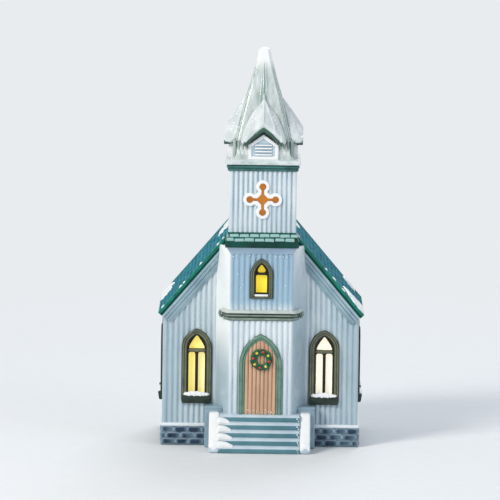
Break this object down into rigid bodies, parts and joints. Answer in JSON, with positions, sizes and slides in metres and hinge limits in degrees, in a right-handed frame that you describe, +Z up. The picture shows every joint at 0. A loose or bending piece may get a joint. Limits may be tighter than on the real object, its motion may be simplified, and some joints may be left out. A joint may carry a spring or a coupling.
{
  "type": "ceramic christmas village church",
  "caption": "Lighted ceramic village church: clapboard body with an entrance bay, front tower and gabled spire, snowy steps, and a clip-in lamp in its back wall.",
  "frame": {"origin": "middle of the whole part in X and Y, on the surface it stands on", "axes": "+Z up; -Y towards the front with the door and steps; +Y out of the back wall along the lamp; +X to the right of someone facing the front"},
  "size_m": [0.1162, 0.113, 0.2223],
  "materials": {
    "siding_glaze": "glossy pale ice-blue glaze on white earthenware, darker where it pools in the grooves",
    "snow_glaze": "glossy white snow glaze",
    "roof_glaze": "glossy teal-green glaze",
    "trim_glaze": "glossy olive-green glaze",
    "stone_glaze": "grey-blue glazed stones with pale joints",
    "bare_earthenware": "unglazed cast earthenware",
    "door_glaze": "tan glaze",
    "wreath_glaze": "dark green glaze",
    "berry_glaze": "red and yellow enamel",
    "window_film": "translucent warm yellow film",
    "amber_film": "translucent amber film",
    "socket_plastic": "white moulded plastic",
    "brass": "bright rolled brass",
    "spring_steel": "plated spring strip",
    "solder": "dull solder",
    "bulb_glass": "clear blown glass",
    "tungsten_wire": "grey drawn wire"
  },
  "bodies": {
    "house": {"base_floor": "bare_earthenware", "foundation_front_left": "stone_glaze", "foundation_front_right": "stone_glaze", "foundation_left": "stone_glaze", "foundation_right": "stone_glaze", "foundation_back": "stone_glaze", "front_wall_left": "siding_glaze", "front_wall_right": "siding_glaze", "back_wall": "siding_glaze", "left_wall": "siding_glaze", "right_wall": "siding_glaze", "bay_front": "siding_glaze", "bay_side_left": "siding_glaze", "bay_side_right": "siding_glaze", "bay_frieze": "siding_glaze", "door": "door_glaze", "door_frame": "trim_glaze", "wreath": "wreath_glaze", "wreath_berries": "berry_glaze", "hood_moulding": "trim_glaze", "front_window_frames": "trim_glaze", "bay_window_frame": "trim_glaze", "side_window_frames": "trim_glaze", "window_sills": "trim_glaze", "sill_snow": "snow_glaze", "front_window_panes": "window_film", "bay_window_pane": "window_film", "side_window_panes": "window_film", "quatrefoil_pane": "amber_film", "rake_moulding_left": "siding_glaze", "rake_moulding_right": "siding_glaze", "rear_rakes": "siding_glaze", "roof_left": "roof_glaze", "roof_right": "roof_glaze", "ridge_roll": "snow_glaze", "roof_snow": "snow_glaze", "tower_skirt": "roof_glaze", "tower_shaft": "siding_glaze", "quatrefoil_surround": "snow_glaze", "tower_cornice": "trim_glaze", "spire": "snow_glaze", "gablet_roofs": "snow_glaze", "gablet_louvres": "snow_glaze", "steps": "siding_glaze", "cheek_left": "snow_glaze", "cheek_right": "snow_glaze", "pier_left": "siding_glaze", "pier_right": "siding_glaze", "step_snow": "snow_glaze"},
    "lamp_holder": {"socket_body": "socket_plastic", "screw_shell": "brass", "contact_tongue": "spring_steel", "clip_band": "spring_steel"},
    "clip_left": {"clip_leaf_left": "spring_steel"},
    "clip_right": {"clip_leaf_right": "spring_steel"},
    "bulb_tip": {"bulb_contact": "solder"},
    "bulb": {"bulb_cap": "brass", "bulb_glass": "bulb_glass", "bulb_stem": "bulb_glass", "bulb_filament": "tungsten_wire"}
  },
  "joints": [
    {"name": "lamp_slide", "type": "slide", "parent": "house", "child": "lamp_holder", "axis": [0, 1, 0], "range_m": [0, 0.07]},
    {"name": "bulb_travel", "type": "slide", "parent": "lamp_holder", "child": "bulb_tip", "axis": [0, -1, 0], "range_m": [0, 0.0077]},
    {"name": "bulb_turn", "type": "hinge", "parent": "bulb_tip", "child": "bulb", "pos_m": [0.014, 0.0245, 0.038], "axis": [0, -1, 0], "range_deg": [0, 1080]},
    {"name": "clip_press_left", "type": "hinge", "parent": "lamp_holder", "child": "clip_left", "pos_m": [0.00255, 0.0311, 0.038], "axis": [0, 0, -1], "range_deg": [0, 7], "stiffness_Nm_per_rad": 0.02},
    {"name": "clip_press_right", "type": "hinge", "parent": "lamp_holder", "child": "clip_right", "pos_m": [0.02545, 0.0311, 0.038], "axis": [0, 0, 1], "range_deg": [0, 7], "stiffness_Nm_per_rad": 0.02}
  ],
  "couplings": [
    {"joint": "bulb_travel", "follows": "bulb_turn", "m_per_rad": 0.00040425}
  ]
}
